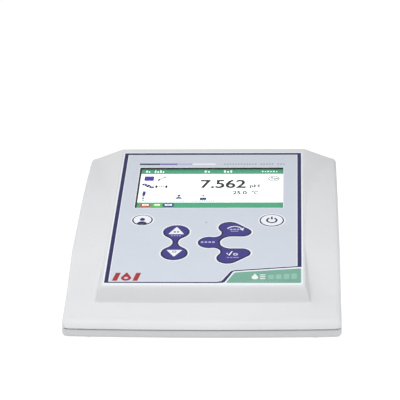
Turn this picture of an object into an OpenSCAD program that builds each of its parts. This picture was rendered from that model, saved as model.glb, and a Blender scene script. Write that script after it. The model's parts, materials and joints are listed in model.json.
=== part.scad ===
// Bench pH meter: a sloping-panel case, colour screen, membrane keys and rear sockets.
// The bench is Z = 0, the front faces -Y, and the origin is under the middle of the whole meter.

/* [Case] */
// Width of the case
case_w = 155; // [150:1:160]
// Depth of the case, without the sockets
case_d = 181; // [178:1:184]
// How far the front edge bows forward at its middle
front_bow = 2.4; // [1:0.2:4]
// Corner radius of the case at the front, seen from above
front_corner_r = 4; // [3:0.5:6]
// Corner radius of the case at the back, seen from above
rear_corner_r = 2.5; // [2:0.5:4]
// Thickness of the case walls
wall = 2.5; // [2:0.1:2.8]
// Height of the lower shell's underside above the bench
base_z = 2.2; // [2:0.1:2.4]
// Height of the lower shell's rim
rim_z = 6.6; // [6.4:0.1:6.8]
// Open seam between the two shells
seam_gap = 0.5; // [0.3:0.1:0.6]

/* [Panel] */
// Slope of the front panel
panel_tilt = 15.7; // [15:0.1:16]
// Distance of the panel's lower reference line behind the front edge
panel_y = 25.4; // [25:0.1:26]
// Height of the panel's lower reference line
panel_z = 26.9; // [26:0.1:27.5]
// Width of the raised panel
panel_w = 115; // [114.4:0.1:116]
// Thickness of the case under the panel
panel_t = 3.4; // [3.2:0.1:3.6]
// Width of the overlay film
film_w = 113.2; // [112.6:0.1:113.6]
// Length of the overlay film up the slope
film_l = 158.6; // [158:0.1:159]
// Thickness of the overlay film
film_t = 0.4; // [0.3:0.05:0.45]

/* [Screen] */
// Width of the display window
window_w = 89; // [86:0.5:90]
// Height of the display window up the slope
window_l = 50.6; // [49:0.2:51]
// Distance of the window's middle above the panel's reference line
window_s = 110; // [109.5:0.1:110.5]

/* [Keys] */
// Travel of each key
key_travel = 0.35; // [0.25:0.05:0.4]
// Gap round each key
key_gap = 0.2; // [0.15:0.05:0.25]
// Thickness of a key's cap
key_t = 0.6; // [0.5:0.05:0.65]
// How far the keys stand above the film
key_proud = 0.1; // [0:0.05:0.15]
// Radius of the power key
power_r = 6.8; // [6:0.1:7]
// Radius of the user key
user_r = 5.7; // [5:0.1:6]
// Radius of the up and down keys
arrow_r = 7.4; // [7:0.1:7.6]
// Distance between the up and down keys
arrow_pitch = 24.1; // [23.5:0.1:24.5]

/* [Sockets] */
// Height of the sockets above the bench
socket_z = 26; // [25:0.5:28]
// How far the pH socket stands out of the rear panel
bnc_out = 11; // [10:0.5:12]
// Bore radius of the reference socket
ref_bore_r = 2.0; // [1.95:0.05:2.05]
// Outer radius of the temperature socket's shell
temp_shell_r = 4.15; // [4.1:0.05:4.2]

/* [Hidden] */
$fn = 48;
shell_bottom = rim_z + seam_gap;
bow_r = (pow(case_w / 2, 2) + pow(front_bow, 2)) / (2 * front_bow);
shelf_slope = 19;
shelf_start = [1.9, 10.6];
lip_r = 9.6;
wing_drop = 0.3;
shelf_end_y = 27.7;
ramp_end_y = 61;
crest_y = 140;
wing_rear_z = 64.6;
film_s0 = -2.8;
hump_s0 = -3.6;
hump_base_y = 19.6;
hump_base_z = 16.4;
hump_flare_front = 3.5;
hump_flare_rear = 17;
floor_z = base_z + wall;
eps = 0.01;

// Keypad layers, as distances below the panel's face
spacer_top = film_t;
spacer_t = 1.0;
circuit_t = 0.3;
pocket_depth = spacer_top + spacer_t + circuit_t;
dome_play = 0.15;
dome_h = spacer_top + spacer_t + key_proud - key_t - key_travel - dome_play;
dome_r = 4;
pad_w = 94;
pad_gap = 0.2;
pad_s0 = 16;
pad_s1 = 78.4;
tail_w = 12;
tail_s = 17.5;

// Key places on the panel: across, then up the slope
user_at = [-38.7, 70.1];
power_at = [38, 69.6];
arrow_x = -17.75;
key_row_s = 44;
mode_at = [1.8, key_row_s];
mode_r = 6;
lobe_at = [13.2, key_row_s + 17.3];
lobe_r = 6.1;
waist_r = 5;
slot_x = 15;
slot_r = 7.2;
lobe_tip_r = 4.7;
lobe_tip_at = [21.2, key_row_s + slot_r + lobe_tip_r];
print_rim = 0.25;
neck_half = 1.2;
led_at = [-0.7, 67.3];
led_r = 0.75;
lobe_press = [16, 15];
key_centres = concat([user_at, power_at, mode_at],
    [for (t = [-1, 1]) each [[arrow_x, key_row_s + t * arrow_pitch / 2],
                             [lobe_press.x, key_row_s + t * lobe_press.y]]]);

// Screen module and its holder
lcd_w = 98;
lcd_l = 62;
lcd_t = 3.2;
lcd_drop = 1.4;
holder_wall = 3.8;
holder_t = 1.2;
window_t = 1.3;
lcd_screw_r = 1;
lcd_back = lcd_drop + lcd_t;

// Main board, parallel to the panel
board_drop = 14;
board_t = 1.6;
board_w = 100;
board_s0 = 14;
board_s1 = 152;
board_boss_x = 46;
board_boss_s = [27, 148.6];
board_back = board_drop + board_t;
board_boss_r = 3.2;
screw_clear = 0.05;

// What stands on the main board's inner side
shield_at = [-28, 92];
shield_size = [30, 24, 5];
battery_at = [32, 84];
battery_r = 10;
battery_h = 3.2;
clip_h = 4.4;
clip_sheet = 0.3;
buzzer_at = [2, 96];
buzzer_r = 6;
buzzer_h = 6;
// Chips: [across, up the slope, width, length, height]
chips = [[-20, 50, 14, 14, 1.4], [4, 52, 9, 9, 1.2], [24, 46, 6, 10, 1.5], [-4, 74, 7, 5, 1.6],
         [30, 118, 10, 8, 4], [-30, 118, 9, 9, 3], [8, 118, 5, 6, 1.6]];

// Case screws and feet
case_screw_r = 1.5;
case_screws_at = [[-66, 36], [66, 36], [-66, 150], [66, 150]];
case_boss_r = 4.6;
screw_floor = 1.6;
label_at = [0, 95];
label_size = [58, 32, 0.15];
foot_r = 6;
feet_at = [[-63, 13.5], [63, 13.5], [-63, 168], [63, 168]];

// Rear panel and what it carries
rear_w = 128;
rear_z0 = 9;
rear_z1 = 46;
rear_t = 1.2;
rear_open_w = 108;
rear_open_z0 = 14;
rear_open_z1 = 38;
panel_screw_x = 59.5;
panel_screws_z = [12.2, 42.5];
bnc_x = -40;
ref_x = -17;
temp_x = 4;
usb_x = 25;
jack_x = 45;
socket_board_y = case_d - 17;
socket_board_w = 120;
post_x = 57;
ribbon_y = socket_board_y - 3.2;
bnc_r = 4.8;
bnc_flange_r = 7.2;
bnc_flange_t = 1.6;
bnc_bore_r = 4.05;
temp_out = 9.5;
ref_out = 3;
usb_w = 12;
usb_h = 11;
usb_proud = 0.6;
usb_deep = 10;
jack_w = 9.4;
jack_h = 11;
jack_bore_r = 3.0;
y_front = -(case_d + bnc_out) / 2;

function unit(v) = v / norm(v);
function flat(p) = [p.x, p.y];
function turn(a) = a > 180 ? a - 360 : a < -180 ? a + 360 : a;
// Points of an arc of radius r that rounds corner b between its neighbours a and c
function corner(a, b, c, r, n = 8) =
    let (u = unit(flat(a) - flat(b)), v = unit(flat(c) - flat(b)), half = acos(u * v) / 2,
         mid = flat(b) + unit(u + v) * r / sin(half),
         p0 = flat(b) + u * r / tan(half) - mid, p1 = flat(b) + v * r / tan(half) - mid,
         a0 = atan2(p0.y, p0.x), sweep = turn(atan2(p1.y, p1.x) - a0))
    [for (i = [0:n]) mid + r * [cos(a0 + sweep * i / n), sin(a0 + sweep * i / n)]];
// A closed outline whose points are [x, y, corner radius]
function rounded(p) = let (n = len(p))
    [for (i = [0:n - 1]) each p[i].z == 0 ? [flat(p[i])]
        : corner(p[(i + n - 1) % n], p[i], p[(i + 1) % n], p[i].z)];

// Height of the panel plane at a distance behind the front edge
function panel_height(y) = panel_z + (y - panel_y) * tan(panel_tilt);
function shelf_height(y) = shelf_start.y + (y - shelf_start.x) * tan(shelf_slope);
// Case outline from above, moved inwards by i
function outline(i) =
    let (hw = case_w / 2 - i)
    rounded(concat(
        [for (k = [-6:6]) let (x = k * hw / 7) [x, i + bow_r - sqrt(bow_r * bow_r - x * x), 0]],
        [[hw, front_bow + i, front_corner_r - min(i, 3)],
         [hw, case_d - i, max(rear_corner_r - i, 0.5)],
         [-hw, case_d - i, max(rear_corner_r - i, 0.5)],
         [-hw, front_bow + i, front_corner_r - min(i, 3)]]));
// Side profile of the wings: lip, shelf, ramp, level run and rear fall
function wing_profile() = rounded([
    [0, shell_bottom, 0],
    [shelf_start.x, shelf_start.y, lip_r],
    [shelf_end_y, shelf_height(shelf_end_y), 0],
    [ramp_end_y, panel_height(ramp_end_y) - wing_drop, 60],
    [crest_y, panel_height(crest_y) - wing_drop, 540],
    [case_d, wing_rear_z, 2.5],
    [case_d, shell_bottom, 0]]);

module place() translate([0, y_front, 0]) children();
module on_panel() place() translate([0, panel_y, panel_z]) rotate([panel_tilt, 0, 0]) children();
// Extrudes an outline drawn in Y and Z across the width w
module across(w) translate([w / 2, 0, 0]) rotate([90, 0, -90]) mirror([1, 0, 0])
    linear_extrude(w) children();
module block(size, at) translate([at.x - size.x / 2, at.y - size.y / 2, at.z]) cube(size);
// A rod along Y from y0 to y1
module rod_y(r, x, y0, y1, z = socket_z, n = 48)
    translate([x, y0, z]) rotate([-90, 0, 0]) cylinder(r = r, h = y1 - y0, $fn = n);
module case_prism(i, z0, z1) translate([0, 0, z0]) linear_extrude(z1 - z0) polygon(outline(i));

// The wings' solid, inset by i and lowered by drop
module wings(i, drop) intersection() {
    across(case_w + 2) translate([0, -drop]) polygon(wing_profile());
    case_prism(i, shell_bottom - 5, case_d);
}
// The raised panel's solid, flaring into the wings, inset by i and lowered by drop
module hump(i, drop) {
    top_w = panel_w / 2 - i;
    y0 = panel_y + hump_s0 * cos(panel_tilt) + i;
    y1 = case_d - i;
    hull() for (sx = [-1, 1]) {
        translate([sx * top_w, y0, panel_height(y0) - drop - 1]) cylinder(r = eps, h = 1, $fn = 4);
        translate([sx * top_w, y1, panel_height(y1) - drop - 1]) cylinder(r = eps, h = 1, $fn = 4);
        translate([sx * (top_w + hump_flare_front), hump_base_y + i, shell_bottom - drop])
            cylinder(r = eps, h = hump_base_z - shell_bottom, $fn = 4);
        translate([sx * (top_w + hump_flare_rear), y1, shell_bottom - drop])
            cylinder(r = eps, h = wing_rear_z - shell_bottom, $fn = 4);
    }
}
// Where the round case screws go
module at_case_screws() for (p = case_screws_at) translate([p.x, p.y, 0]) children();
module at_board_screws() for (x = [-1, 1], s = board_boss_s) translate([x * board_boss_x, s, 0]) children();
module at_lcd_screws() for (x = [-1, 1], t = [-1, 1])
    translate([x * (lcd_w / 2 + 1.9), window_s + t * (lcd_l / 2 + 1.9), 0]) children();

// Printed key shapes, grown by g: outlines whose arcs run into each other without a corner
function arc(c, r, a0, a1, n = 12) =
    [for (i = [0:n - 1]) let (a = a0 + (a1 - a0) * i / n) c + r * [cos(a), sin(a)]];
function heading(p, q) = atan2(q.y - p.y, q.x - p.x);
function arrows_outline(g) =
    let (reach = arrow_pitch / 2,
         neck_r = (neck_half * neck_half + reach * reach - arrow_r * arrow_r) / (2 * (arrow_r - neck_half)),
         aside = neck_half + neck_r, lean = atan2(reach, aside), mid = [arrow_x, key_row_s])
    concat(arc(mid + [0, reach], arrow_r + g, -lean, 180 + lean, 32),
           arc(mid - [aside, 0], neck_r - g, lean, -lean),
           arc(mid - [0, reach], arrow_r + g, 180 - lean, 360 + lean, 32),
           arc(mid + [aside, 0], neck_r - g, 180 + lean, 180 - lean));
module arrows_shape(g) polygon(arrows_outline(g));

function flip(p) = [p.x, 2 * key_row_s - p.y];
// The point that is rp away from p and rq away from q, on the left of the way from p to q
function meet(p, rp, q, rq) =
    let (d = norm(q - p), u = (q - p) / d, a = (rp * rp - rq * rq + d * d) / (2 * d))
    p + a * u + sqrt(rp * rp - a * a) * [-u.y, u.x];
// Upper half of the three-lobed key group: slot, tip, lobe, waist and middle key in turn
function half_trident(g) =
    let (slot = [slot_x, key_row_s],
         waist = meet(mode_at, mode_r + waist_r, lobe_at, lobe_r + waist_r),
         side = heading(lobe_at, lobe_tip_at) + acos((lobe_r - lobe_tip_r) / norm(lobe_tip_at - lobe_at)))
    concat(arc(slot, slot_r - g, 180, 90),
           [[slot_x, key_row_s + slot_r - g]],
           arc(lobe_tip_at, lobe_tip_r + g, -90, side),
           arc(lobe_at, lobe_r + g, side, 360 + heading(lobe_at, waist)),
           arc(waist, waist_r - g, heading(waist, lobe_at), heading(waist, mode_at)),
           arc(mode_at, mode_r + g, heading(mode_at, waist), 180),
           [[mode_at.x - mode_r - g, key_row_s]]);
module trident_shape(g) {
    upper = half_trident(g);
    polygon(concat(upper, [for (i = [len(upper) - 2:-1:1]) flip(upper[i])]));
}
module all_key_shapes(g) {
    translate(user_at) circle(r = user_r + g);
    translate(power_at) circle(r = power_r + g);
    arrows_shape(g);
    trident_shape(g);
}
module key_cap() translate([0, 0, key_proud - key_t]) linear_extrude(key_t) children();
module film_outline() polygon(rounded([for (p = [[-1, 0], [1, 0], [1, 1], [-1, 1]])
    [p.x * film_w / 2, film_s0 + p.y * film_l, 1.5]]));
module window_outline(g) translate([-window_w / 2 - g, window_s - window_l / 2 - g])
    square([window_w + 2 * g, window_l + 2 * g]);

module upper_housing() color([0.87, 0.88, 0.90]) difference() {
    union() {
        difference() {
            place() union() {
                wings(0, 0);
                hump(0, 0);
            }
            place() {
                wings(wall, wall);
                hump(wall, panel_t);
                block([case_w + 10, case_d * 3, 10], [0, 0, shell_bottom - 10]);
            }
        }
        // Screw bosses that reach down to the lower shell
        place() intersection() {
            at_case_screws() translate([0, 0, rim_z]) cylinder(r = case_boss_r, h = 60);
            union() {
                wings(0.5, 0.5);
                translate([0, 0, rim_z]) case_prism(wall, 0, 2);
            }
        }
        // Board bosses under the panel
        on_panel() at_board_screws() translate([0, 0, -board_drop])
            cylinder(r = board_boss_r, h = board_drop - 2);
        // Rear panel screw bosses
        place() for (x = [-1, 1], z = panel_screws_z)
            rod_y(2.8, x * panel_screw_x, case_d - 8, case_d - 1.5, z);
    }
    // Recess for the film, pocket for the keypad, and the slot for its tail
    on_panel() translate([0, 0, -film_t]) linear_extrude(film_t + 2) film_outline();
    on_panel() block([pad_w, pad_s1 - pad_s0, pocket_depth + 1], [0, (pad_s0 + pad_s1) / 2, -pocket_depth]);
    on_panel() block([tail_w + 2, 2, 10], [0, tail_s, -8]);
    // Display opening, with the screen's own seat behind it
    on_panel() translate([0, 0, -10]) linear_extrude(12) window_outline(0);
    on_panel() block([lcd_w + 0.4, lcd_l + 0.4, 8], [0, window_s, -lcd_drop - 8]);
    // Screw holes
    place() at_case_screws() translate([0, 0, 6]) cylinder(r = case_screw_r, h = 8.5);
    on_panel() at_board_screws() translate([0, 0, -board_drop - 1]) cylinder(r = 1.25, h = 9);
    on_panel() at_lcd_screws() translate([0, 0, -6]) cylinder(r = lcd_screw_r, h = 4.6);
    // Rear panel seat, its opening and its screw holes
    place() block([rear_w, 2 * rear_t, rear_z1 - rear_z0], [0, case_d, rear_z0]);
    place() block([rear_open_w, 20, rear_open_z1 - rear_open_z0], [0, case_d, rear_open_z0]);
    place() for (x = [-1, 1], z = panel_screws_z) rod_y(1, x * panel_screw_x, case_d - 7, case_d + 1, z);
}

module lower_housing() color([0.85, 0.86, 0.88]) place() difference() {
    union() {
        difference() {
            union() {
                case_prism(0, base_z + 0.9, rim_z);
                case_prism(0.9, base_z, base_z + 1);
            }
            case_prism(wall, floor_z, rim_z + 1);
        }
        at_case_screws() translate([0, 0, base_z + 1])
            cylinder(r = case_boss_r + 0.6, h = rim_z - base_z - 1);
    }
    // Gasket groove in the rim
    difference() {
        case_prism(0.7, rim_z - 1, rim_z + 1);
        case_prism(1.9, rim_z - 2, rim_z + 2);
    }
    at_case_screws() translate([0, 0, -1]) cylinder(r = 3.1, h = rim_z - screw_floor + 1);
    at_case_screws() cylinder(r = case_screw_r + 0.2, h = 20);
    // Shallow seat for the rating label
    block(label_size + [2, 2, 0.1], [label_at.x, label_at.y, base_z]);
}

module housing_seal() color([0.35, 0.36, 0.38]) place() difference() {
    case_prism(0.8, rim_z - 1, shell_bottom);
    case_prism(1.8, rim_z - 2, shell_bottom + 1);
}

module screw(r, length, head_r, head_h) {
    cylinder(r = r, h = length);
    difference() {
        translate([0, 0, -head_h]) cylinder(r = head_r, h = head_h);
        for (a = [0, 90]) rotate([0, 0, a])
            block([head_r * 1.1, head_r * 0.3, head_h * 0.6], [0, 0, -head_h - eps]);
    }
}
module housing_screws() color([0.72, 0.73, 0.75]) place() at_case_screws()
    translate([0, 0, rim_z - screw_floor]) screw(case_screw_r - screw_clear, 9, 2.8, 1.9);

module rubber_feet() color([0.32, 0.33, 0.34]) place() for (p = feet_at) translate([p.x, p.y, 0])
    rotate_extrude() polygon([
        [0, 0],
        [foot_r - 1.6, 0],
        [foot_r - 0.5, 0.5],
        [foot_r, 1.4],
        [foot_r, base_z],
        [0, base_z]
    ]);

module rating_label() color([0.78, 0.79, 0.80]) place()
    block(label_size, [label_at.x, label_at.y, base_z + 0.1]);

module rear_panel() color([0.30, 0.31, 0.33]) place() difference() {
    block([rear_w - 0.4, rear_t, rear_z1 - rear_z0 - 0.4], [0, case_d - rear_t / 2, rear_z0 + 0.2]);
    rod_y(bnc_r, bnc_x, case_d - 5, case_d + 5);
    rod_y(4.2, ref_x, case_d - 5, case_d + 5);
    rod_y(4.6, temp_x, case_d - 5, case_d + 5);
    block([usb_w + 0.4, 10, usb_h + 0.4], [usb_x, case_d, socket_z - usb_h / 2 - 0.2]);
    block([jack_w + 0.4, 10, jack_h + 0.4], [jack_x, case_d, socket_z - jack_h / 2 - 0.2]);
    for (x = [-1, 1], z = panel_screws_z) rod_y(1.2, x * panel_screw_x, case_d - 5, case_d + 5, z);
}
module panel_screws() color([0.25, 0.25, 0.26]) place() for (x = [-1, 1], z = panel_screws_z)
    translate([x * panel_screw_x, case_d, z]) rotate([90, 0, 0]) screw(0.95, 6, 2, 1.1);

module overlay_film() color([0.80, 0.83, 0.86]) on_panel() translate([0, 0, -film_t]) linear_extrude(film_t)
    difference() {
        film_outline();
        all_key_shapes(print_rim + key_gap);
        window_outline(0);
        translate(led_at) circle(r = led_r + 0.05);
    }
module display_window() color([0.75, 0.85, 0.95, 0.4]) on_panel()
    translate([0, 0, -window_t]) linear_extrude(window_t) window_outline(-0.05);

module key_user() color([0.93, 0.93, 0.96]) on_panel() key_cap()
    translate(user_at) circle(r = user_r + print_rim);
module key_power() color([0.93, 0.93, 0.96]) on_panel() key_cap()
    translate(power_at) circle(r = power_r + print_rim);
module key_up() color([0.29, 0.28, 0.56]) on_panel() key_cap() intersection() {
    arrows_shape(print_rim);
    translate([arrow_x - 20, key_row_s + key_gap / 2]) square(40);
}
module key_down() color([0.29, 0.28, 0.56]) on_panel() key_cap() intersection() {
    arrows_shape(print_rim);
    translate([arrow_x - 20, key_row_s - key_gap / 2 - 40]) square(40);
}
// The three lobes part along two 45-degree cuts through the middle of the slot
cut_shift = key_gap * sqrt(2) / 2;
module key_mode() color([0.29, 0.28, 0.56]) on_panel() key_cap() intersection() {
    trident_shape(print_rim);
    translate([slot_x - cut_shift, key_row_s]) polygon([[0, 0], [-30, 30], [-30, -30]]);
}
module lobe_cut() translate([slot_x + cut_shift, key_row_s])
    polygon([[0, 0], [-25, 25], [20, 25], [20, 0]]);
module key_escape() color([0.29, 0.28, 0.56]) on_panel() key_cap() intersection() {
    trident_shape(print_rim);
    lobe_cut();
}
module key_ok() color([0.29, 0.28, 0.56]) on_panel() key_cap() intersection() {
    trident_shape(print_rim);
    translate([0, 2 * key_row_s]) mirror([0, 1]) lobe_cut();
}

module key_domes() color([0.80, 0.81, 0.82]) on_panel() for (p = key_centres)
    translate([p.x, p.y, -pocket_depth + circuit_t]) rotate_extrude()
        polygon([[0, 0], [dome_r, 0], [dome_r * 0.8, dome_h * 0.6], [dome_r * 0.4, dome_h], [0, dome_h]]);

module pad_outline() translate([-pad_w / 2 + pad_gap, pad_s0 + pad_gap])
    square([pad_w - 2 * pad_gap, pad_s1 - pad_s0 - 2 * pad_gap]);
module membrane_spacer() color([0.92, 0.92, 0.90]) on_panel() translate([0, 0, -spacer_top - spacer_t])
    linear_extrude(spacer_t) difference() {
        pad_outline();
        all_key_shapes(1);
        translate(led_at) circle(r = led_r + 0.2);
    }
module membrane_circuit() color([0.90, 0.91, 0.92]) on_panel() union() {
    translate([0, 0, -pocket_depth]) linear_extrude(circuit_t) pad_outline();
    block([tail_w, 0.3, board_drop - pocket_depth - 1.5], [0, tail_s + 0.4, -board_drop + 1.6]);
}
module keypad_connector() color([0.90, 0.88, 0.80]) on_panel() difference() {
    block([tail_w + 4, 3.2, 3], [0, tail_s + 0.4, -board_drop]);
    block([tail_w + 0.2, 0.6, 3], [0, tail_s + 0.4, -board_drop + 1]);
}
module status_led() color([0.55, 0.80, 0.55]) on_panel()
    translate([led_at.x, led_at.y, -pocket_depth + circuit_t])
        cylinder(r = led_r, h = pocket_depth - circuit_t);

module lcd_panel() color([0.10, 0.11, 0.12]) on_panel()
    block([lcd_w, lcd_l, lcd_t], [0, window_s, -lcd_back]);
module lcd_frame() color([0.25, 0.26, 0.28]) on_panel() difference() {
    block([lcd_w + 2 * holder_wall, lcd_l + 2 * holder_wall, lcd_back + holder_t - panel_t],
          [0, window_s, -lcd_back - holder_t]);
    block([lcd_w + 0.3, lcd_l + 0.3, lcd_t + 1], [0, window_s, -lcd_back]);
    block([lcd_w - 20, lcd_l - 16, 20], [0, window_s, -panel_t - 15]);
    at_lcd_screws() translate([0, 0, -12]) cylinder(r = lcd_screw_r + 0.15, h = 20);
}
module lcd_screws() color([0.70, 0.70, 0.72]) on_panel() at_lcd_screws()
    translate([0, 0, -lcd_back - holder_t]) screw(lcd_screw_r - screw_clear, 4, 1.8, 1.2);
module lcd_ribbon() color([0.85, 0.55, 0.20]) on_panel()
    block([26, 0.3, board_drop - lcd_back], [0, window_s - lcd_l / 2 + 12, -board_drop]);

module main_board() color([0.10, 0.40, 0.22]) on_panel() difference() {
    block([board_w, board_s1 - board_s0, board_t], [0, (board_s0 + board_s1) / 2, -board_back]);
    at_board_screws() translate([0, 0, -board_drop - 5]) cylinder(r = 1.4, h = 10);
}
module board_screws() color([0.70, 0.70, 0.72]) on_panel() at_board_screws()
    translate([0, 0, -board_back]) screw(1.2, 8, 2.3, 1.6);
module board_chips() color([0.13, 0.13, 0.14]) on_panel() for (c = chips)
    block([c[2], c[3], c[4]], [c[0], c[1], -board_back - c[4]]);
module on_board_back(at) on_panel() translate([at.x, at.y, -board_back]) rotate([180, 0, 0]) children();
module input_shield() color([0.75, 0.76, 0.78]) on_board_back(shield_at) difference() {
    block(shield_size, [0, 0, 0]);
    block(shield_size - [1, 1, 0.5], [0, 0, -eps]);
}
module battery_clip() color([0.80, 0.80, 0.78]) on_board_back(battery_at) difference() {
    cylinder(r = battery_r + 1.2, h = clip_h);
    translate([0, 0, clip_h - battery_h - 2 * clip_sheet]) cylinder(r = battery_r + 0.1, h = clip_h);
}
module clock_battery() color([0.78, 0.78, 0.80]) on_board_back(battery_at)
    translate([0, 0, clip_h - battery_h - 2 * clip_sheet]) cylinder(r = battery_r, h = battery_h);
module buzzer() color([0.10, 0.10, 0.11]) on_board_back(buzzer_at) difference() {
    cylinder(r = buzzer_r, h = buzzer_h);
    translate([0, 0, buzzer_h - 2]) cylinder(r = 1, h = 3);
}

module socket_board() color([0.10, 0.40, 0.22]) place() difference() {
    block([socket_board_w, 1.6, 30], [0, socket_board_y - 0.8, 10]);
    for (x = [-1, 1]) rod_y(1.6, x * post_x, socket_board_y - 5, socket_board_y + 5);
}
// Posts with a stud and a nut that hold the socket board off the rear wall
module board_posts() color([0.80, 0.72, 0.45]) place() for (x = [-1, 1]) {
    rod_y(2.6, x * post_x, socket_board_y, case_d - wall, socket_z, 6);
    rod_y(1.3, x * post_x, socket_board_y - 3, socket_board_y);
    rod_y(2.4, x * post_x, socket_board_y - 3.6, socket_board_y - 1.6, socket_z, 6);
}
// Flat ribbon from the socket board up to the main board's underside
module board_ribbon() color([0.75, 0.76, 0.78]) place() {
    top = panel_height(ribbon_y - 0.4) - board_back / cos(panel_tilt) - 0.05;
    block([24, 0.8, top - 13], [0, ribbon_y, 13]);
    block([26, 1.4, 3], [0, ribbon_y + 0.9, 12]);
}

module ph_socket_shell() color([0.80, 0.80, 0.82]) place() difference() {
    union() {
        rod_y(bnc_r - 0.05, bnc_x, case_d - 10, case_d + bnc_out);
        rod_y(bnc_flange_r, bnc_x, case_d, case_d + bnc_flange_t);
        translate([bnc_x, case_d + bnc_out - 4.8, socket_z]) for (t = [-1, 1])
            translate([min(0, t * 5.5), 0, 0]) rotate([0, 90, 0]) cylinder(r = 1, h = 5.5);
    }
    rod_y(bnc_bore_r, bnc_x, case_d - 12, case_d + bnc_out + 1);
}
module ph_socket_insulator() color([0.95, 0.95, 0.93]) place() difference() {
    union() {
        rod_y(bnc_bore_r, bnc_x, case_d - 10, case_d + 2.5);
        rod_y(2.4, bnc_x, case_d + 2.4, case_d + bnc_out - 2.6);
    }
    rod_y(1.1, bnc_x, case_d - 12, case_d + bnc_out);
}
module ph_socket_contact() color([0.85, 0.70, 0.30]) place() difference() {
    rod_y(1.1, bnc_x, socket_board_y, case_d + bnc_out - 2.8);
    rod_y(0.67, bnc_x, case_d + 2, case_d + bnc_out);
}
module ph_socket_washer() color([0.75, 0.75, 0.76]) place() difference() {
    rod_y(7, bnc_x, case_d - rear_t - 0.6, case_d - rear_t);
    rod_y(bnc_r, bnc_x, case_d - 5, case_d);
}
module ph_socket_nut() color([0.78, 0.78, 0.80]) place() difference() {
    rod_y(7.2, bnc_x, case_d - rear_t - 3.2, case_d - rear_t - 0.6, socket_z, 6);
    rod_y(bnc_r, bnc_x, case_d - 8, case_d);
}
module reference_socket() color([0.82, 0.72, 0.42]) place() difference() {
    rod_y(2.9, ref_x, socket_board_y, case_d + ref_out - 0.6);
    rod_y(ref_bore_r, ref_x, case_d - 12, case_d + ref_out);
}
module reference_insulator() color([0.10, 0.10, 0.11]) place() difference() {
    union() {
        rod_y(4.15, ref_x, case_d - 9, case_d);
        rod_y(5.6, ref_x, case_d, case_d + ref_out);
    }
    rod_y(2.9, ref_x, case_d - 10, case_d + ref_out - 0.6);
    rod_y(ref_bore_r + 0.3, ref_x, case_d - 1, case_d + ref_out + 1);
}
module reference_nut() color([0.78, 0.78, 0.80]) place() difference() {
    rod_y(6.2, ref_x, case_d - rear_t - 2.6, case_d - rear_t, socket_z, 6);
    rod_y(4.15, ref_x, case_d - 8, case_d);
}
module temperature_socket() color([0.80, 0.80, 0.82]) place() difference() {
    union() {
        rod_y(temp_shell_r, temp_x, case_d, case_d + temp_out);
        rod_y(6.4, temp_x, case_d, case_d + 1.4);
        rod_y(4.55, temp_x, case_d - 4, case_d);
    }
    rod_y(3.4, temp_x, case_d - 6, case_d + temp_out + 1);
}
module temperature_insulator() color([0.92, 0.92, 0.90]) place() difference() {
    rod_y(3.4, temp_x, case_d - 4, case_d + temp_out - 1.2);
    rod_y(2.1, temp_x, case_d - 6, case_d + temp_out);
}
module temperature_contact() color([0.80, 0.72, 0.42]) place() difference() {
    rod_y(2.1, temp_x, socket_board_y, case_d + temp_out - 1.4);
    rod_y(1.65, temp_x, case_d - 6, case_d + temp_out);
}
module power_jack() color([0.10, 0.10, 0.11]) place() difference() {
    block([jack_w, case_d - socket_board_y, jack_h],
          [jack_x, (case_d + socket_board_y) / 2, socket_z - jack_h / 2]);
    rod_y(jack_bore_r, jack_x, case_d - 10, case_d + 1);
    rod_y(1.05, jack_x, case_d - 13, case_d);
}
module power_pin() color([0.80, 0.80, 0.82]) place() rod_y(1.05, jack_x, case_d - 13, case_d - 1.2);
module usb_socket() color([0.76, 0.77, 0.79]) place() difference() {
    block([usb_w, case_d + usb_proud - socket_board_y, usb_h],
          [usb_x, (case_d + usb_proud + socket_board_y) / 2, socket_z - usb_h / 2]);
    block([8.5, 2 * usb_deep, 7.8], [usb_x, case_d + usb_proud, socket_z - 3.9]);
}
module usb_tongue() color([0.92, 0.92, 0.90]) place()
    block([5.6, usb_deep - 1.4, 3], [usb_x, case_d + usb_proud - usb_deep / 2 - 0.7, socket_z - 1.5]);

upper_housing();
lower_housing();
housing_seal();
housing_screws();
rubber_feet();
rating_label();
rear_panel();
panel_screws();
overlay_film();
display_window();
key_user();
key_power();
key_up();
key_down();
key_mode();
key_escape();
key_ok();
key_domes();
membrane_spacer();
membrane_circuit();
keypad_connector();
status_led();
lcd_panel();
lcd_frame();
lcd_screws();
lcd_ribbon();
main_board();
board_chips();
board_screws();
input_shield();
clock_battery();
battery_clip();
buzzer();
socket_board();
board_posts();
board_ribbon();
ph_socket_shell();
ph_socket_insulator();
ph_socket_contact();
ph_socket_washer();
ph_socket_nut();
reference_socket();
reference_insulator();
reference_nut();
temperature_socket();
temperature_insulator();
temperature_contact();
power_jack();
power_pin();
usb_socket();
usb_tongue();
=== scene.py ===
import json
import math

import bmesh
import bpy
import numpy as np
from mathutils import Matrix, Vector
from mathutils.geometry import delaunay_2d_cdt


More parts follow.
